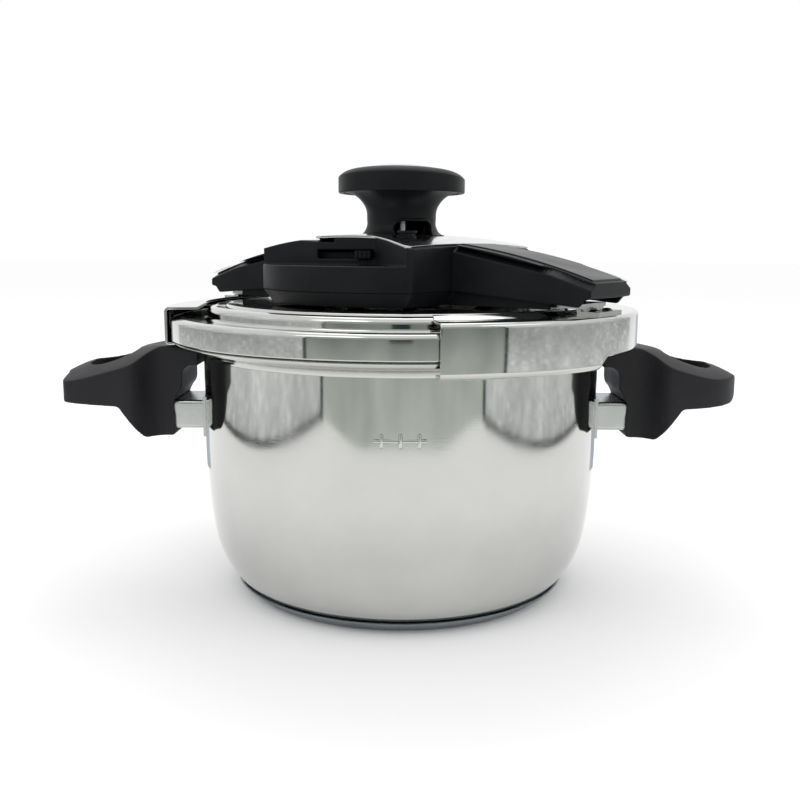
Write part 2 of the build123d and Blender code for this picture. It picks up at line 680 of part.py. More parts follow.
def arm_cover_seat(depth, gap):
    """Space in an arm's top for its cover, with a groove of gap round it."""
    strip = make_face([*arm_top(depth).edges(), *arm_top(-6.0).edges(),
                       *Line((48.0, 206.2 - depth), (48.0, 212.2)).edges(),
                       *Line((ARM_END, 187.8 - depth), (ARM_END, 193.8)).edges()])
    seat = extrude(Plane.XZ * strip, ARM_HALF - ARM_BEVEL + gap - 0.8, both=True)
    return seat & block(DRUM_HALF + 1.6 - gap, ARM_END - 2.6 + gap, -40, 40, 150, 230)


def arm_cover():
    """Slightly crowned panel on top of the front arm."""
    cover = arm_cover_seat(0.9, 0.0)
    top = make_face([*arm_top(-0.7).edges(), *arm_top(20.0).edges(),
                     *Line((48.0, 206.9), (48.0, 186.2)).edges(),
                     *Line((ARM_END, 188.5), (ARM_END, 167.8)).edges()])
    cover &= extrude(Plane.XZ * top, ARM_HALF, both=True)
    return soften(cover, cover.faces().sort_by(Axis.Z)[-1].edges(), 0.5)


def steam_tower():
    """Fixed neck that carries the knob, with the oval steam port."""
    outer = [Line((0, 210.4), (TOWER_FOOT_R, 210.4)),
             Line((TOWER_FOOT_R, 210.4), (TOWER_FOOT_R, 211.0)),
             Spline((TOWER_FOOT_R, 211.0), (21.2, 212.6), (TOWER_R, 216.4),
                    (TOWER_R, 222.0), tangents=[(-1, 0.1), (0, 1)]),
             Spline((TOWER_R, 222.0), (21.6, 228.6), (31.6, 234.6), tangents=[(0, 1), (1, 0.12)]),
             Line((31.6, 234.6), (31.6, TOWER_TOP_Z)),
             Line((31.6, TOWER_TOP_Z), (0, TOWER_TOP_Z)),
             Line((0, TOWER_TOP_Z), (0, 210.4))]
    tower = spin(make_face([e for part in outer for e in part.edges()]))
    tower -= dome(DOME_TOP_Z + 0.02)
    tower += cyl(14.8, 204.0, 214.0)
    port = Rot(0, 0, -34.0) * Pos(21.0, 0, 214.2)
    oval = Plane.YZ * SlotOverall(24.0, 11.0)
    rim = tube(TOWER_R + 1.1, TOWER_R - 1.0, 205, 230) & (port * extrude(oval, 12, both=True))
    tower += rim
    tower -= cyl(13.0, 200.0, 231.0)
    tower += tube(7.5, SPINDLE_R + 0.06, 226.0, TOWER_TOP_Z)
    hole = Plane.YZ * SlotOverall(21.6, 8.6)
    tower -= (port * extrude(hole, 12, both=True)) & (cyl(40, 200, 240) - cyl(9.0, 190, 250))
    tower -= cyl(SPINDLE_R + 0.06, 190, 250)
    tower -= cyl(PIN_HEAD_R + 0.7, 190, 226, PIN_X, PIN_Y)
    tower -= dome(DOME_TOP_Z + 0.02) - cyl(14.8, 0, 260)
    return tower


def spindle_bush():
    return tube(6.5, SPINDLE_R + 0.06, ROOF_Z + 0.1, 186.0)


def spindle():
    """Shaft from the knob down to the pinion."""
    shaft = cyl(SPINDLE_R, LID_TOP_Z + 0.4, 239.0)
    return shaft - cyl(1.6, 226.0, 240.0)


def spindle_clip():
    """Retaining clip that keeps the shaft in its bush."""
    clip = tube(6.0, SPINDLE_R + 0.02, 186.3, 187.3)
    return clip - block(0, 10, -2.2, 2.2, 180, 190)


def tilt(shape):
    """Slant the top of the knob, its high side towards the recess."""
    pivot = Pos(0, 0, KNOB_RIM_Z) * Rot(0, 0, KNOB_HIGH) * Rot(-KNOB_TILT, 0, 0)
    return pivot * Pos(0, 0, -KNOB_RIM_Z) * shape


def knob_body():
    """Disc knob with a hanging lip and a slanted crown."""
    band = cyl(KNOB_R, KNOB_Z, 250.0)
    band -= tilt(cyl(60.0, KNOB_RIM_Z, 262.0))
    crown = [Line((0, 241.0), (KNOB_R - 0.08, 241.0)), Line((KNOB_R - 0.08, 241.0),
             (KNOB_R - 0.08, KNOB_RIM_Z)),
             ThreePointArc((KNOB_R - 0.08, KNOB_RIM_Z), (32.4, 244.4), (KNOB_CAP_R, 245.6)),
             Line((KNOB_CAP_R, 245.6), (KNOB_CAP_R, 244.2)), Line((KNOB_CAP_R, 244.2), (0, 244.2)),
             Line((0, 244.2), (0, 241.0))]
    body = band + tilt(spin(make_face([e for part in crown for e in part.edges()])))
    body -= cyl(32.6, KNOB_Z - 1, 238.0)
    low = body.edges().filter_by(GeomType.CIRCLE).group_by(Axis.Z)[0]
    body = soften(body, low, 0.8)
    body -= cyl(SPINDLE_R + 0.02, 230, 239.0)
    body -= cyl(1.7, 230, 246.0)
    body -= cyl(3.6, 242.0, 250.0)
    return body


def knob_cap():
    """Domed metal inlay on the knob."""
    r = KNOB_CAP_R - 0.1
    ball_r = 88.0
    outer = Pos(0, 0, 249.6 - ball_r) * Sphere(ball_r)
    inner = Pos(0, 0, 248.6 - ball_r) * Sphere(ball_r)
    shell = cyl(r, 244.25, 252.0) & outer
    return tilt(shell - (cyl(r - 1.0, 243.0, 252.0) & inner))


def knob_screw():
    screw = cyl(3.2, 242.1, 243.9) + cyl(1.55, 228.0, 242.2)
    return screw - Pos(0, 0, 243.0) * extrude(RegularPolygon(1.4, 6), 2.0)


# ---------------------------------------------------------------- release slider
def release_slider():
    """Finger tab in the recess, on a carriage behind the slot."""
    tab_x = SLOT_LEN / 2 - SLIDER_W / 2 - 0.4
    tab = Box(SLIDER_W, 8.0, SLOT_H - 0.8)
    tab = soften(tab, tab.edges().filter_by(Axis.Z), 0.8)
    for i in range(3):
        tab -= Pos(-2.4 + i * 2.4, -4.0, 0) * Box(0.7, 1.0, 5.0)
    carriage = Pos(0, 4.9, -1.3) * Box(SLIDER_W + 3, 2.6, 5.2)
    return slot_frame() * Pos(tab_x, 0, 0) * (tab + carriage)


def slider_guide():
    """Rail behind the slot that the carriage runs on."""
    rail = Pos(0, 7.6, -2.2) * Box(34.0, 1.6, 6.4)
    rail += Pos(0, 5.6, -4.8) * Box(34.0, 4.4, 1.2)
    return slot_frame() * rail


# ---------------------------------------------------------------- screws
def housing_screws():
    """Screws from the base into the drum."""
    return [cyl(1.5, ROOF_Z, 190.0, x, y) + cyl(3.0, ROOF_Z - 1.5, ROOF_Z, x, y)
            for x, y in BASE_SCREWS]


def save(node, shape):
    """Write one node as a STEP file."""
    down = Pos(0, 0, -FLOOR_Z)
    if isinstance(shape, list):
        shape = Compound(children=[down * s.solids()[0] for s in shape])
    else:
        shape = down * shape
    export_step(shape, f"parts/{node}.step")


def main():
    os.makedirs("parts", exist_ok=True)
    fixed = {
        "pot_body": pot_body(),
        "base_core": base_core(),
        "base_cap": base_cap(),
        "handle_bracket_right": handle_bracket(),
        "handle_bracket_left": opposite(handle_bracket()),
        "side_handle_right": side_handle(),
        "side_handle_left": opposite(side_handle()),
        "handle_screws": [handle_screw(), opposite(handle_screw())],
        "lid_gasket": lid_gasket(),
    }
    bridge = {
        "lid_shell": lid_shell(),
        "lid_studs": lid_studs(),
        "lid_nuts": lid_nuts(),
        "indicator_seal": indicator_seal(),
        "pressure_indicator": pressure_indicator(),
        "valve_body": valve_body(),
        "valve_seal": valve_seal(),
        "valve_nut": valve_nut(),
        "valve_hood": valve_hood(),
        "valve_weight": valve_weight(),
        "valve_spring": valve_spring(),
        "safety_valve_body": safety_valve_body(),
        "safety_valve_nut": safety_valve_nut(),
        "safety_plunger": safety_plunger(),
        "safety_spring": safety_spring(),
        "safety_cap": safety_cap(),
        "jaw_front": jaw(),
        "jaw_rear": opposite(jaw()),
        "rack_front": rack(),
        "rack_rear": opposite(rack()),
        "rack_rivets_front": rack_rivets(),
        "rack_rivets_rear": [opposite(rivet) for rivet in rack_rivets()],
        "guide_posts": guide_posts(),
        "drive_pinion": drive_pinion(),
        "housing_base": housing_base(),
        "housing_drum": housing_drum(),
        "top_plate": top_plate(),
        "arm_front": arm(),
        "arm_rear": opposite(arm()),
        "arm_cover_front": arm_cover(),
        "arm_cover_rear": opposite(arm_cover()),
        "steam_tower": steam_tower(),
        "spindle_bush": spindle_bush(),
        "spindle": spindle(),
        "spindle_clip": spindle_clip(),
        "knob_body": knob_body(),
        "knob_cap": knob_cap(),
        "knob_screw": knob_screw(),
        "release_slider": release_slider(),
        "slider_guide": slider_guide(),
        "housing_screws": housing_screws(),
    }
    for node, shape in fixed.items():
        save(node, shape)
    for node, shape in bridge.items():
        if isinstance(shape, list):
            save(node, [place(s) for s in shape])
        else:
            save(node, place(shape))


main()
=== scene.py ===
import bpy
import bmesh
import json
from math import atan2, cos, pi, radians, sin, sqrt, tan
from mathutils import Matrix, Vector


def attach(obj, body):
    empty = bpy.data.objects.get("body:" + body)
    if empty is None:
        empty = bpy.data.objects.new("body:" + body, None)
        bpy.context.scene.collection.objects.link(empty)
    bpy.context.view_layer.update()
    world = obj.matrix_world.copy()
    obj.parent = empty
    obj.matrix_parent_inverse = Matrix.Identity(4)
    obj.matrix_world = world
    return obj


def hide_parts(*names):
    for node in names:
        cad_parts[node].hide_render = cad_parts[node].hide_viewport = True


# Looks of a stovetop pressure cooker: 22 cm polished steel pot with a clamp-jaw lid,
# black bridge housing, centre knob and loop side handles.
# Metres, in the cooker's own frame: +Z up, origin under the base, side handles along X.
# The bridge lies BRIDGE radians off +X; pieces drawn along it are turned
# by bridge_turn().

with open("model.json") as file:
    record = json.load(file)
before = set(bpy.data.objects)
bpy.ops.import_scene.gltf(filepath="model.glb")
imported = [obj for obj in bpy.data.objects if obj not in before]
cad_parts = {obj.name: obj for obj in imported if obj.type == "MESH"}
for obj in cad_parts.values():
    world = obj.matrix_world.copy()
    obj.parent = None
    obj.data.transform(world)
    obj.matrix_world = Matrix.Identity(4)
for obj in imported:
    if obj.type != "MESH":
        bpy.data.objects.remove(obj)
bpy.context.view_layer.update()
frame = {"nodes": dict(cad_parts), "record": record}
nodes = frame["nodes"]

MM = 0.001
BRIDGE = radians(-35.0)
FLOOR_Z = 12.0            # millimetre heights below count from a datum this far under the hob


# ---------------------------------------------------------------- camera
CAM_DISTANCE = 0.545
CAM_HEIGHT = 0.193
CAM_SIDE = -0.0003
CAM_PITCH = radians(9.2)
CAM_ROLL = radians(0.3)
SENSOR = 36.0
CAM_FOCAL = 1.1875 * SENSOR


def make_camera():
    """Camera in front of the cooker, a little above the lid, looking slightly down."""
    data = bpy.data.cameras.new("camera")
    data.sensor_width = SENSOR
    data.lens = CAM_FOCAL
    data.clip_start = 0.01
    data.clip_end = 50.0
    camera = bpy.data.objects.new("camera", data)
    bpy.context.scene.collection.objects.link(camera)
    right = Vector((1, 0, 0))
    ahead = Vector((0, cos(CAM_PITCH), -sin(CAM_PITCH)))
    up = right.cross(ahead)
    image_x = cos(CAM_ROLL) * right + sin(CAM_ROLL) * up
    image_y = -sin(CAM_ROLL) * right + cos(CAM_ROLL) * up
    turn = Matrix((image_x, image_y, -ahead)).transposed()
    place = Matrix.Translation((CAM_SIDE, -CAM_DISTANCE, CAM_HEIGHT))
    camera.matrix_world = place @ turn.to_4x4()
    bpy.context.scene.camera = camera


make_camera()


# ---------------------------------------------------------------- material helpers
def new_material(name):
    """New material; returns it, its node tree and its principled shader."""
    material = bpy.data.materials.new(name)
    material.use_nodes = True
    tree = material.node_tree
    shader = tree.nodes["Principled BSDF"]
    return material, tree, shader


def add(tree, kind, **values):
    """New node with its properties and socket defaults set by name."""
    node = tree.nodes.new(kind)
    for key, value in values.items():
        if key in node.inputs:
            node.inputs[key].default_value = value
        else:
            setattr(node, key, value)
    return node


def noise(tree, vector, scale, detail=3.0, roughness=0.55):
    """Noise texture on a vector socket."""
    node = add(tree, "ShaderNodeTexNoise", Scale=scale, Detail=detail, Roughness=roughness)
    tree.links.new(vector, node.inputs["Vector"])
    return node.outputs["Fac"]


def remap(tree, value, low, high, new_low, new_high):
    """Map range on a value socket."""
    node = add(tree, "ShaderNodeMapRange")
    for key, number in zip(("From Min", "From Max", "To Min", "To Max"),
                           (low, high, new_low, new_high)):
        node.inputs[key].default_value = number
    tree.links.new(value, node.inputs["Value"])
    return node.outputs["Result"]


def ring_vector(tree, across, along):
    """Vector that runs fast across rings about Z and slowly round them."""
    coords = add(tree, "ShaderNodeTexCoord").outputs["Object"]
    split = add(tree, "ShaderNodeSeparateXYZ")
    tree.links.new(coords, split.inputs[0])
    flat = add(tree, "ShaderNodeCombineXYZ")
    tree.links.new(split.outputs["X"], flat.inputs["X"])
    tree.links.new(split.outputs["Y"], flat.inputs["Y"])
    radius = add(tree, "ShaderNodeVectorMath", operation="LENGTH")
    tree.links.new(flat.outputs[0], radius.inputs[0])
    angle = add(tree, "ShaderNodeMath", operation="ARCTAN2")
    tree.links.new(split.outputs["Y"], angle.inputs[0])
    tree.links.new(split.outputs["X"], angle.inputs[1])
    joined = add(tree, "ShaderNodeCombineXYZ")
    for source, target, factor in ((radius.outputs["Value"], "X", across),
                                   (split.outputs["Z"], "Y", across),
                                   (angle.outputs[0], "Z", along)):
        scaled = add(tree, "ShaderNodeMath", operation="MULTIPLY")
        scaled.inputs[1].default_value = factor
        tree.links.new(source, scaled.inputs[0])
        tree.links.new(scaled.outputs[0], joined.inputs[target])
    return joined.outputs[0]


def bump(tree, shader, height, strength, distance, below=None):
    """Bump on the shader's normal, on top of the bump below if one is given."""
    node = add(tree, "ShaderNodeBump", Strength=strength, Distance=distance)
    tree.links.new(height, node.inputs["Height"])
    if below is not None:
        tree.links.new(below, node.inputs["Normal"])
    tree.links.new(node.outputs[0], shader.inputs["Normal"])
    return node.outputs[0]


def tint(tree, shader, value, dark, light):
    """Base colour between two colours by a value socket."""
    ramp = add(tree, "ShaderNodeValToRGB")
    ramp.color_ramp.elements[0].color = (*dark, 1)
    ramp.color_ramp.elements[1].color = (*light, 1)
    ramp.color_ramp.elements[0].position = 0.3
    ramp.color_ramp.elements[1].position = 0.7
    tree.links.new(value, ramp.inputs[0])
    tree.links.new(ramp.outputs[0], shader.inputs["Base Color"])


def steel(name, dark, light, smooth, rough, ring_bump=0.02, across=2500.0):
    """Stainless steel: fine polishing marks round the axis, smudges and faint waves."""
    material, tree, shader = new_material(name)
    shader.inputs["Metallic"].default_value = 1.0
    rings = ring_vector(tree, across, 9.0)
    coords = add(tree, "ShaderNodeTexCoord").outputs["Object"]
    marks = noise(tree, rings, 1.0, 4.0)
    smudge = noise(tree, coords, 26.0, 4.0, 0.6)
    waves = noise(tree, coords, 9.0, 1.0)
    tint(tree, shader, smudge, dark, light)
    mixed = add(tree, "ShaderNodeMath", operation="MULTIPLY")
    tree.links.new(marks, mixed.inputs[0])
    tree.links.new(smudge, mixed.inputs[1])
    tree.links.new(remap(tree, mixed.outputs[0], 0.1, 0.45, smooth, rough),
                   shader.inputs["Roughness"])
    first = bump(tree, shader, waves, 0.05, 0.002)
    bump(tree, shader, marks, ring_bump, 0.0001, first)
    return material


def plastic(name, dark, light, rough, grain, grain_size, level=0.3):
    """Moulded plastic: fine spark-erosion grain, slow tone changes, handling marks."""
    material, tree, shader = new_material(name)
    shader.inputs["Specular IOR Level"].default_value = level
    coords = add(tree, "ShaderNodeTexCoord").outputs["Object"]
    fine = noise(tree, coords, grain_size, 2.0)
    slow = noise(tree, coords, 38.0, 4.0, 0.6)
    tint(tree, shader, slow, dark, light)
    tree.links.new(remap(tree, slow, 0.3, 0.7, rough - 0.07, rough + 0.07),
                   shader.inputs["Roughness"])
    bump(tree, shader, fine, grain, 0.0002)
    return material


def rubber(name, colour):
    """Silicone: soft, slightly dusty."""
    material, tree, shader = new_material(name)
    shader.inputs["Subsurface Weight"].default_value = 0.15
    shader.inputs["Subsurface Scale"].default_value = 0.002
    coords = add(tree, "ShaderNodeTexCoord").outputs["Object"]
    slow = noise(tree, coords, 60.0, 4.0)
    tint(tree, shader, slow, tuple(0.85 * c for c in colour), colour)
    tree.links.new(remap(tree, slow, 0.3, 0.7, 0.45, 0.65), shader.inputs["Roughness"])
    bump(tree, shader, noise(tree, coords, 900.0), 0.05, 0.0002)
    return material


MATERIALS = {
    "polished_steel": steel("polished_steel", (0.54, 0.545, 0.525), (0.585, 0.59, 0.57),
                            0.05, 0.13),
    "satin_steel": steel("satin_steel", (0.50, 0.51, 0.50), (0.60, 0.61, 0.60),
                         0.18, 0.34, 0.25, 4200.0),
    # Base steel: its dark colour is painted shade, standing in for the shadowed floor under the
    # pot that the down-facing cap reflects.
    "base_steel_painted_shade": steel("base_steel_painted_shade", (0.18, 0.20, 0.21), (0.24, 0.26, 0.28),
                        0.22, 0.34, 0.2, 3000.0),
    "aluminium": steel("aluminium", (0.62, 0.63, 0.64), (0.72, 0.73, 0.74), 0.3, 0.45, 0.3),
    "plated_steel": steel("plated_steel", (0.50, 0.50, 0.49), (0.62, 0.62, 0.60), 0.2, 0.35),
    "brass": steel("brass", (0.55, 0.40, 0.16), (0.70, 0.54, 0.26), 0.15, 0.3),
    "handle_plastic": plastic("handle_plastic", (0.010, 0.010, 0.012), (0.016, 0.016, 0.019),
                              0.5, 0.35, 1500.0, 0.26),
    "housing_plastic": plastic("housing_plastic", (0.006, 0.007, 0.008), (0.010, 0.011, 0.013),
                               0.42, 0.18, 1900.0, 0.13),
    "cover_plastic": plastic("cover_plastic", (0.009, 0.010, 0.011), (0.014, 0.015, 0.017),
                             0.42, 0.45, 1300.0, 0.6),
    "knob_plastic": plastic("knob_plastic", (0.006, 0.007, 0.008), (0.010, 0.011, 0.012),
                            0.42, 0.15, 1900.0, 0.12),
    "plate_steel": steel("plate_steel", (0.62, 0.63, 0.63), (0.70, 0.71, 0.71), 0.10, 0.2, 0.05),
    "silicone": rubber("silicone", (0.55, 0.56, 0.56)),
}

SLOT_LOOK = {
    "polished_steel": "polished_steel", "brushed_steel": "satin_steel",
    "base_aluminium": "aluminium", "handle_plastic": "handle_plastic",
    "housing_plastic": "housing_plastic", "knob_plastic": "knob_plastic",
    "seal_silicone": "silicone", "valve_brass": "brass", "fastener_steel": "plated_steel",
}


def dress(obj, look):
    """Give a piece one material in every slot."""
    obj.data.materials.clear()
    obj.data.materials.append(MATERIALS[look])


def dress_frame():
    """Give every CAD node the look of its slot in the record."""
    for entry in frame["record"]["subparts"]:
        dress(nodes[entry["node"]], SLOT_LOOK[entry["material_slot"]])
    for name in ("arm_cover_front", "arm_cover_rear"):
        dress(nodes[name], "cover_plastic")
    # The base cap gets the steel whose dark colour is painted shade.
    dress(nodes["base_cap"], "base_steel_painted_shade")


dress_frame()


# ---------------------------------------------------------------- shape helpers
def rounded(points, radii, steps=8):
    """Outline through the points, in millimetres, with each inner corner turned into an arc."""
    line = [Vector(points[0])]
    for before, corner, after, radius in zip(points, points[1:], points[2:], radii):
        corner = Vector(corner)
        to_before = (Vector(before) - corner).normalized()
        to_after = (Vector(after) - corner).normalized()
        half = to_before.angle(to_after) / 2
        start = corner + to_before * (radius / tan(half))
        end = corner + to_after * (radius / tan(half))
        centre = corner + (to_before + to_after).normalized() * (radius / sin(half))
        for i in range(steps + 1):
            spot = start.lerp(end, i / steps) - centre
            line.append(centre + spot.normalized() * radius)
    line.append(Vector(points[-1]))
    return line


def link(name, bm, look, body, smooth_angle=40.0):
    """Turn a bmesh, drawn from the datum, into a piece that rides on a body."""
    mesh = bpy.data.meshes.new(name)
    bmesh.ops.recalc_face_normals(bm, faces=bm.faces)
    bm.to_mesh(mesh)
    bm.free()
    mesh.transform(Matrix.Translation((0, 0, -FLOOR_Z * MM)))
    mesh.shade_smooth()
    mesh.set_sharp_from_angle(angle=radians(smooth_angle))
    obj = bpy.data.objects.new(name, mesh)
    bpy.context.scene.collection.objects.link(obj)
    mesh.materials.append(MATERIALS[look])
    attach(obj, body)
    return obj


def sweep_round(columns, closed):
    """Bmesh of a surface whose columns are lists of (r, z) in millimetres at an azimuth."""
    bm = bmesh.new()
    rows = []
    for azimuth, outline in columns:
        rows.append([bm.verts.new((r * MM * cos(azimuth), r * MM * sin(azimuth), z * MM))
                     for r, z in outline])
    pairs = list(zip(rows, rows[1:]))
    if closed:
        pairs.append((rows[-1], rows[0]))
    for first, second in pairs:
        for i in range(len(first) - 1):
            bm.faces.new((first[i], second[i], second[i + 1], first[i + 1]))
    bmesh.ops.remove_doubles(bm, verts=bm.verts, dist=1e-7)
    return bm


def lathe(outline, segments=288):
    """Bmesh of an outline turned all the way round Z."""
    return sweep_round([(2 * pi * i / segments, outline) for i in range(segments)], True)


def thicken(obj, thickness, edge=0.0):
    """Give a sheet its thickness, in millimetres, and bevel its rim.
    A positive thickness grows against the sheet's normals, a negative one along them."""
    solid = obj.modifiers.new("thickness", "SOLIDIFY")
    solid.thickness = abs(thickness) * MM
    solid.offset = -1.0 if thickness > 0 else 1.0
    solid.use_even_offset = True
    if edge:
        soft = obj.modifiers.new("edge", "BEVEL")
        soft.width = edge * MM
        soft.segments = 2
        soft.limit_method = "ANGLE"
        soft.angle_limit = radians(50)


def soft_moulding(name, voxel, rounds):
    """Round every edge of a CAD moulding a little, as a mould does; voxel in millimetres."""
    obj = nodes[name]
    remesh = obj.modifiers.new("skin", "REMESH")
    remesh.mode = "VOXEL"
    remesh.voxel_size = voxel * MM
    remesh.use_smooth_shade = True
    smooth = obj.modifiers.new("relax", "SMOOTH")
    smooth.factor = 0.5
    smooth.iterations = rounds


# ---------------------------------------------------------------- pot
WALL_R = 111.2            # outside of the straight wall
BEND_Z = 98.2             # the belly starts below this height
FLARE_Z = 147.5           # the wall flares out above this height
FLARE_BEND_R = 4.0
RIM = (127.0, 152.7)      # lower edge of the rim
POT_T = 1.0
POT_ARCS = ((308.6, 9.7, 12), (52.9, 32.3, 14), (6.6, 48.0, 10))  # radius, degrees, steps
FLOOR_RING = 0.6          # share of the floor's radius where its face is split

BASE_FLAT_R = 87.5
BASE_RIM_R = 94.6
BASE_H = 6.0
BASE_BEND_R = 4.0
BASE_T = 0.8

MARK_Z = 115.0
MARK_BAR = (26.0, 2.6)    # length and width
MARK_TICK = (7.4, 2.2)
MARK_PITCH = 9.0
MARK_RINGS = ((0.0, -0.15), (0.3, 0.45), (0.9, 0.9))  # inset and height above the wall
MARK_POINTS = 40


def pot_outline():
    """Outer line of the pot from the middle of its floor to the rim, in millimetres."""
    line = []
    spot = Vector((WALL_R, BEND_Z))
    heading = -pi / 2
    for radius, turn, steps in POT_ARCS:
        centre = spot + Vector((sin(heading), -cos(heading))) * radius
        arm = spot - centre
        for i in range(1, steps + 1):
            angle = -radians(turn) * i / steps
            x = arm.x * cos(angle) - arm.y * sin(angle)
            y = arm.x * sin(angle) + arm.y * cos(angle)
            line.append(centre + Vector((x, y)))
        heading -= radians(turn)
        spot = line[-1]
    floor = [Vector((0, spot.y)), Vector((spot.x * FLOOR_RING, spot.y))]
    wall = rounded([(WALL_R, BEND_Z), (WALL_R, FLARE_Z), RIM], [FLARE_BEND_R])
    return floor + line[::-1] + wall


def make_pot():
    """Drawn pot with its flared rim."""
    pot = link("pot_shell", lathe(pot_outline()), "polished_steel", "cooker")
    thicken(pot, -POT_T)
    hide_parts("pot_body")


def make_base():
    """Pressed cap under the heat-spreading disc."""
    corners = [(0, FLOOR_Z), (BASE_FLAT_R, FLOOR_Z), (BASE_RIM_R, FLOOR_Z + BASE_H)]
    line = rounded(corners, [BASE_BEND_R])
    # The cap's dark steel colour is painted shade from the shadowed floor it reflects.
    cap = link("base_disc", lathe(line), "base_steel_painted_shade", "cooker")
    thicken(cap, BASE_T)
    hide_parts("base_cap")


def level_bar(bm, size, upright_at=None):
    """One embossed round-ended bar on the wall: level, or upright at a place along the mark."""
    loops = []
    for inset, proud in MARK_RINGS:
        long, short = size[0] / 2 - inset, size[1] / 2 - inset
        loop = []
        for i in range(MARK_POINTS):
            a = 2 * pi * i / MARK_POINTS
            along = (long - short) * (1 if cos(a) > 0 else -1) + short * cos(a)
            rise = short * sin(a)
            if upright_at is not None:
                along, rise = upright_at + rise, along
            angle = along / WALL_R
            r = (WALL_R + proud) * MM
            loop.append(bm.verts.new((r * sin(angle), -r * cos(angle), (MARK_Z + rise) * MM)))
        loops.append(loop)
    for low, high in zip(loops, loops[1:]):
        for i in range(MARK_POINTS):
            bm.faces.new((low[i - 1], low[i], high[i], high[i - 1]))
    bm.faces.new(loops[-1])


def make_level_mark():
    """Plain embossed fill-level mark on the front of the pot: a bar with three ticks."""
    bm = bmesh.new()
    level_bar(bm, MARK_BAR)
    for place in (-MARK_PITCH, 0.0, MARK_PITCH):
        level_bar(bm, MARK_TICK, place)
    mark = link("level_mark", bm, "polished_steel", "cooker", 60.0)


# ---------------------------------------------------------------- lid
LID_TOP_Z = 173.4
SKIRT_R = 128.5
SKIRT_Z = 154.4
# Section from the middle outwards: flat top, ring, valley and skirt, then its bend radii
LID_CORNERS = ((0, LID_TOP_Z), (97.0, LID_TOP_Z), (98.8, 171.9), (103.0, 172.7), (108.5, 171.9),
               (108.5, 165.0), (124.0, 166.9), (SKIRT_R, 166.0), (SKIRT_R, SKIRT_Z))
LID_BENDS = (1.5, 1.5, 2.0, 3.2, 2.2, 4.0, 2.6)
LID_T = 1.0
LID_TOP_RING = 60.0       # extra ring that keeps the top's shading flat
LID_SKIRT_RING = 0.6      # extra ring that keeps the skirt's shading upright


def make_lid():
    """Pressed lid: flat top, stepped ring, valley and rounded skirt."""
    line = rounded(LID_CORNERS, LID_BENDS, 7)
    line.insert(1, Vector((LID_TOP_RING, LID_TOP_Z)))
    line.insert(-1, Vector((SKIRT_R, SKIRT_Z + LID_SKIRT_RING)))
    lid = link("lid_pressing", lathe(line, 360), "polished_steel", "cooker")
    thicken(lid, LID_T)
    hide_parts("lid_shell")


# ---------------------------------------------------------------- jaws
JAW_R = 131.8             # outside of the web
JAW_TOP_Z = 171.7
JAW_T = 1.5
JAW_HALF = radians(47.4)
JAW_STEPS = 150
LIP = (109.4, 174.1)      # raised inner edge of the flange
LIP_FOOT_R = 114.2
LIP_BEND_R = 3.0
JAW_TOP_BEND_R = 2.6
HOOK_Z = 146.0            # deep lower curl, on one end of the jaw
HOOK_R = 118.4
HOOK_BEND_R = 3.4
STEP_UP = 5.0             # the curl on the other end is this much higher,
STEP_OUT = 7.8            # this much narrower,
STEP_TIGHTER = 1.2        # and bent this much tighter
STEP_START = radians(-6.0) - 0.03
STEP_LENGTH = 0.055


def smoothstep(value):
    """Smooth rise from 0 to 1."""
    value = min(max(value, 0.0), 1.0)
    return value * value * (3 - 2 * value)


def jaw_outline(azimuth):
    """Section of a jaw at an azimuth from its middle: lip, flange, web and lower curl."""
    step = smoothstep((azimuth - STEP_START) / STEP_LENGTH)
    low = HOOK_Z + STEP_UP * step
    inner = HOOK_R + STEP_OUT * step
    points = [LIP, (LIP_FOOT_R, JAW_TOP_Z), (JAW_R, JAW_TOP_Z), (JAW_R, low), (inner, low)]
    bends = [LIP_BEND_R, JAW_TOP_BEND_R, HOOK_BEND_R - STEP_TIGHTER * step]
    return rounded(points, bends, 8)


def make_jaw(name, node, body, turn):
    """Clamping jaw round the lid's edge, its middle turned to an azimuth."""
    columns = []
    for i in range(JAW_STEPS + 1):
        azimuth = -JAW_HALF + 2 * JAW_HALF * i / JAW_STEPS
        columns.append((azimuth + turn, jaw_outline(azimuth)))
    jaw = link(name, sweep_round(columns, False), "polished_steel", body)
    thicken(jaw, JAW_T, 0.25)
    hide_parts(node)


# ---------------------------------------------------------------- bridge
DOME_TOP = 212.0
DOME_ALONG_R = 219.0
DOME_ACROSS_R = 1066.0
PLATE_R = 78.0
PLATE_HALF = 48.2         # half its length along the bridge
PLATE_FRONT = ((-11.4, -61.2), (18.0, -50.4), (46.9, -63.2))
PLATE_SIDE_END = -60.0
PLATE_STEP = (-43.0, -18.0)
PLATE_ARC_STEPS = 24
PLATE_GRID = 4.0
PLATE_HOLE_R = 12.0       # left open under the steam tower
PLATE_T = 1.2


def dome_height(x, y):
    """Height of the domed top at a place on the bridge, in millimetres."""
    ring = DOME_ACROSS_R - DOME_ALONG_R + sqrt(DOME_ALONG_R ** 2 - x * x)
    return DOME_TOP - DOME_ACROSS_R + sqrt(ring ** 2 - y * y)


def bridge_turn(obj):
    """Turn a piece drawn along the bridge into the cooker's frame."""
    obj.data.transform(Matrix.Rotation(BRIDGE, 4, "Z"))


def plate_outline():
    """Plan of the top plate, in millimetres, along the bridge."""
    points = [*PLATE_FRONT, (PLATE_HALF, PLATE_SIDE_END)]
    top_right = atan2(sqrt(PLATE_R ** 2 - PLATE_HALF ** 2), PLATE_HALF)
    top_left = pi - top_right
    for i in range(PLATE_ARC_STEPS + 1):
        a = top_right + (top_left - top_right) * i / PLATE_ARC_STEPS
        points.append((PLATE_R * cos(a), PLATE_R * sin(a)))
    points += [(-PLATE_HALF, PLATE_STEP[1]), PLATE_STEP]
    return points


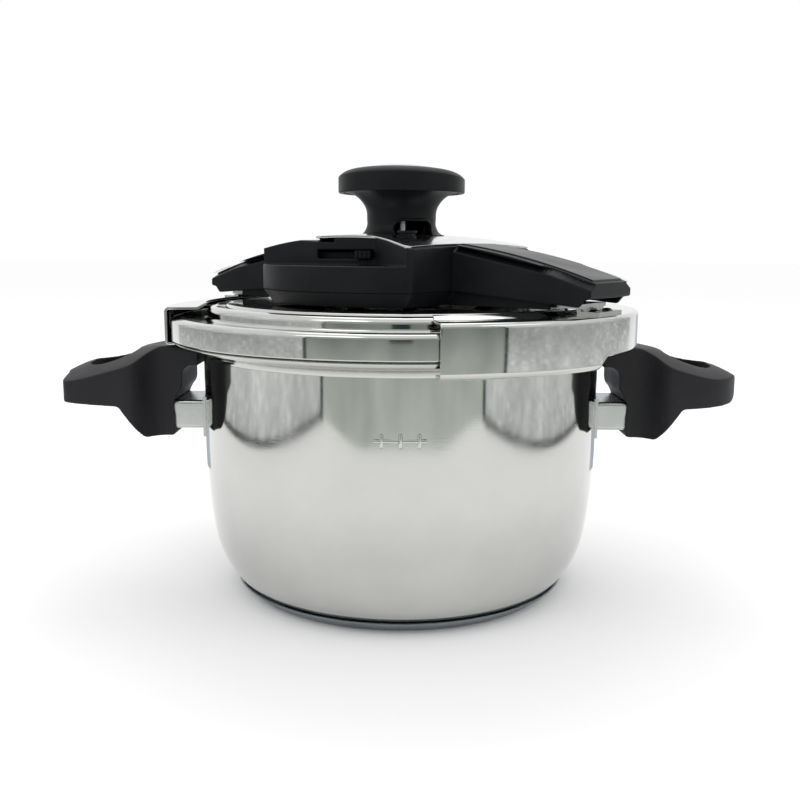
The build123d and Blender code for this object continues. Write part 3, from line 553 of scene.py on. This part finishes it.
def cut_to_grid(bm, pitch, reach):
    """Cut a flat sheet along both axes every pitch, out to the reach, in millimetres."""
    lines = int(reach / pitch)
    for axis in (Vector((1, 0, 0)), Vector((0, 1, 0))):
        for i in range(-lines, lines + 1):
            geometry = bm.verts[:] + bm.edges[:] + bm.faces[:]
            bmesh.ops.bisect_plane(bm, geom=geometry, plane_co=axis * (i * pitch * MM),
                                   plane_no=axis, dist=1e-7)


def make_plate():
    """Domed steel plate, cut to a grid so that its crown is smooth."""
    bm = bmesh.new()
    bm.faces.new([bm.verts.new((x * MM, y * MM, 0)) for x, y in plate_outline()])
    cut_to_grid(bm, PLATE_GRID, PLATE_R)
    for vert in bm.verts:
        vert.co.z = dome_height(vert.co.x / MM, vert.co.y / MM) * MM
    hidden = [face for face in bm.faces
              if face.calc_center_median().to_2d().length < PLATE_HOLE_R * MM]
    bmesh.ops.delete(bm, geom=hidden, context="FACES")
    plate = link("plate", bm, "plate_steel", "cooker")
    bridge_turn(plate)
    thicken(plate, PLATE_T, 0.3)
    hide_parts("top_plate")


make_pot()
make_base()
make_level_mark()
make_lid()
make_jaw("jaw_shell_front", "jaw_front", "jaw_front", BRIDGE)
make_jaw("jaw_shell_rear", "jaw_rear", "jaw_rear", BRIDGE + pi)
make_plate()
for moulding in ("side_handle_left", "side_handle_right"):
    soft_moulding(moulding, 0.5, 6)
for moulding in ("housing_drum", "housing_base", "arm_front", "arm_rear", "steam_tower",
                 "knob_body"):
    soft_moulding(moulding, 0.42, 3)


# ---------------------------------------------------------------- stage
SEAMS = (-39.0, 41.5)     # azimuths, in degrees, where the front panel meets the side panels
SEAM_WIDTH = 1.5
SIDE_END = 122.0
FRONT_R = 0.47
SIDE_R = 0.48
BACK_R = 0.33
PANEL_TOP = 0.5
PANEL_STEPS = 48
SEAM_R = 0.465
HEM_WIDTH = 0.007
HEM_FRONT_Z = 0.013       # lower edge of the front panel in its level middle
HEM_FRONT_RISE = 0.018    # how much higher it is at the seams
HEM_LEVEL_TO = 18.0       # azimuth, in degrees, where it starts to rise
HEM_RISE_OVER = 21.0
HEM_SIDE_Z = 0.012        # lowest place of a side panel's lower edge
HEM_SIDE_RISE = 0.022
HEM_SIDE_MIDDLE = 78.0
HEM_SIDE_REACH = 38.0


def make_floor():
    """Plain pale floor."""
    mesh = bpy.data.meshes.new("floor")
    bm = bmesh.new()
    bmesh.ops.create_circle(bm, cap_ends=True, segments=96, radius=12.0)
    bm.to_mesh(mesh)
    bm.free()
    floor = bpy.data.objects.new("floor", mesh)
    floor.location.z = -0.0003
    bpy.context.scene.collection.objects.link(floor)
    material, _, shader = new_material("floor")
    shader.inputs["Base Color"].default_value = (0.93, 0.93, 0.93, 1)
    shader.inputs["Roughness"].default_value = 0.9
    shader.inputs["Specular IOR Level"].default_value = 0.1
    shader.inputs["Emission Color"].default_value = (1, 1, 1, 1)
    shader.inputs["Emission Strength"].default_value = 0.05
    mesh.materials.append(material)


def glow(name, colour, stops, speckle=0.0):
    """Emission for a light card: its strength follows the height, with a foil sparkle."""
    material = bpy.data.materials.new(name)
    material.use_nodes = True
    tree = material.node_tree
    tree.nodes.clear()
    out = tree.nodes.new("ShaderNodeOutputMaterial")
    light = add(tree, "ShaderNodeEmission", Color=(*colour, 1))
    coords = add(tree, "ShaderNodeTexCoord").outputs["Object"]
    split = add(tree, "ShaderNodeSeparateXYZ")
    tree.links.new(coords, split.inputs[0])
    ramp_node = add(tree, "ShaderNodeValToRGB")
    ramp = ramp_node.color_ramp
    for element, (height, value) in zip(ramp.elements, stops):
        element.position = height
        element.color = (value, value, value, 1)
    for height, value in stops[2:]:
        ramp.elements.new(height).color = (value, value, value, 1)
    tree.links.new(split.outputs["Z"], ramp_node.inputs[0])
    patches = remap(tree, noise(tree, coords, 9.0, 2.0), 0.35, 0.65, 0.85, 1.12)
    mixed = add(tree, "ShaderNodeMath", operation="MULTIPLY")
    tree.links.new(ramp_node.outputs[0], mixed.inputs[0])
    tree.links.new(patches, mixed.inputs[1])
    strength = mixed.outputs[0]
    if speckle:
        squash = add(tree, "ShaderNodeMapping", Scale=(1, 1, 14))
        tree.links.new(coords, squash.inputs["Vector"])
        foil_noise = noise(tree, squash.outputs[0], 40.0, 2.0, 0.6)
        sparkle = remap(tree, foil_noise, 0.52, 0.7, 1.0, speckle)
        foil = add(tree, "ShaderNodeMath", operation="MULTIPLY")
        tree.links.new(strength, foil.inputs[0])
        tree.links.new(sparkle, foil.inputs[1])
        strength = foil.outputs[0]
    tree.links.new(strength, light.inputs["Strength"])
    tree.links.new(light.outputs[0], out.inputs[0])
    return material


def drape(azimuth):
    """Height of the panels' lower edge at an azimuth: level in front and rising to the seams,
    scalloped at the sides."""
    away = abs(azimuth)
    if SEAMS[0] <= azimuth <= SEAMS[1]:
        rise = smoothstep((away - HEM_LEVEL_TO) / HEM_RISE_OVER)
        return HEM_FRONT_Z + HEM_FRONT_RISE * rise
    return HEM_SIDE_Z + HEM_SIDE_RISE * ((away - HEM_SIDE_MIDDLE) / HEM_SIDE_REACH) ** 2


def hem(azimuth):
    """Lower line of the dark binding along the side panels' lower edge."""
    return drape(azimuth) - HEM_WIDTH


def level(height):
    """Card edge at one height all the way along."""
    return lambda azimuth: height


def make_card(name, material, start, end, low, high, radius, steps=12):
    """Curved card round the cooker between two azimuths, seen only in reflections.
    Azimuth 0 is at the camera's side and grows towards +X; low and high give the heights of
    the card's edges at an azimuth."""
    mesh = bpy.data.meshes.new(name)
    bm = bmesh.new()
    previous = None
    for i in range(steps + 1):
        azimuth = start + (end - start) * i / steps
        x, y = radius * sin(radians(azimuth)), -radius * cos(radians(azimuth))
        pair = (bm.verts.new((x, y, low(azimuth))), bm.verts.new((x, y, high(azimuth))))
        if previous:
            bm.faces.new((previous[0], pair[0], pair[1], previous[1]))
        previous = pair
    bm.to_mesh(mesh)
    bm.free()
    mesh.materials.append(material)
    card = bpy.data.objects.new(name, mesh)
    bpy.context.scene.collection.objects.link(card)
    card.visible_camera = False
    card.visible_diffuse = False
    card.visible_shadow = False


def make_light(name, place, size, power):
    """Soft area light aimed at the cooker."""
    data = bpy.data.lights.new(name, "AREA")
    data.shape = "DISK"
    data.size = size
    data.energy = power
    light = bpy.data.objects.new(name, data)
    light.location = place
    aim = Vector((0, 0, 0.12)) - Vector(place)
    light.rotation_euler = aim.to_track_quat("-Z", "Y").to_euler()
    bpy.context.scene.collection.objects.link(light)


def make_studio():
    """White surround, soft lights, and the light tent's panels for reflections."""
    world = bpy.data.worlds.new("studio")
    bpy.context.scene.world = world
    world.use_nodes = True
    sky = world.node_tree.nodes["Background"]
    sky.inputs["Color"].default_value = (1.0, 1.0, 1.0, 1)
    sky.inputs["Strength"].default_value = 1.0
    grey = glow("panel_front", (0.66, 0.70, 0.66),
                [(0.0, 1.05), (0.10, 0.75), (0.16, 0.42), (0.30, 0.7)])
    side = glow("panel_side", (0.80, 0.82, 0.81),
                [(0.0, 0.7), (0.07, 0.88), (0.14, 0.58), (0.35, 0.95)], 2.4)
    back = glow("panel_back", (0.55, 0.60, 0.65), [(0.0, 0.9), (0.20, 1.0)])
    seam = glow("panel_seam", (0.05, 0.06, 0.07), [(0.0, 0.6), (0.4, 1.0)])
    top = level(PANEL_TOP)
    make_card("card_front", grey, *SEAMS, drape, top, FRONT_R, PANEL_STEPS)
    for place, start, way in (("left", SEAMS[0], -1), ("right", SEAMS[1], 1)):
        first, last = start + 0.1 * way, SIDE_END * way
        edge = start - SEAM_WIDTH * way
        make_card("card_" + place, side, first, last, drape, top, SIDE_R, PANEL_STEPS)
        make_card("hem_" + place, seam, first, last, hem, drape, SIDE_R, PANEL_STEPS)
        make_card("seam_" + place, seam, edge, start, drape, top, SEAM_R, 2)
    make_card("card_back", back, 128, 232, level(0.0), level(0.16), BACK_R, 24)
    make_card("lens", seam, -4.5, 4.5, level(0.14), level(0.21), SEAM_R, 6)
    make_light("key", (-1.1, -1.2, 1.9), 1.2, 5.0)
    make_light("fill", (1.4, -0.6, 1.5), 1.2, 3.0)
    make_light("top", (0.0, 0.9, 1.6), 1.2, 5.0)
    bpy.context.scene.view_settings.view_transform = "Standard"


make_floor()
make_studio()
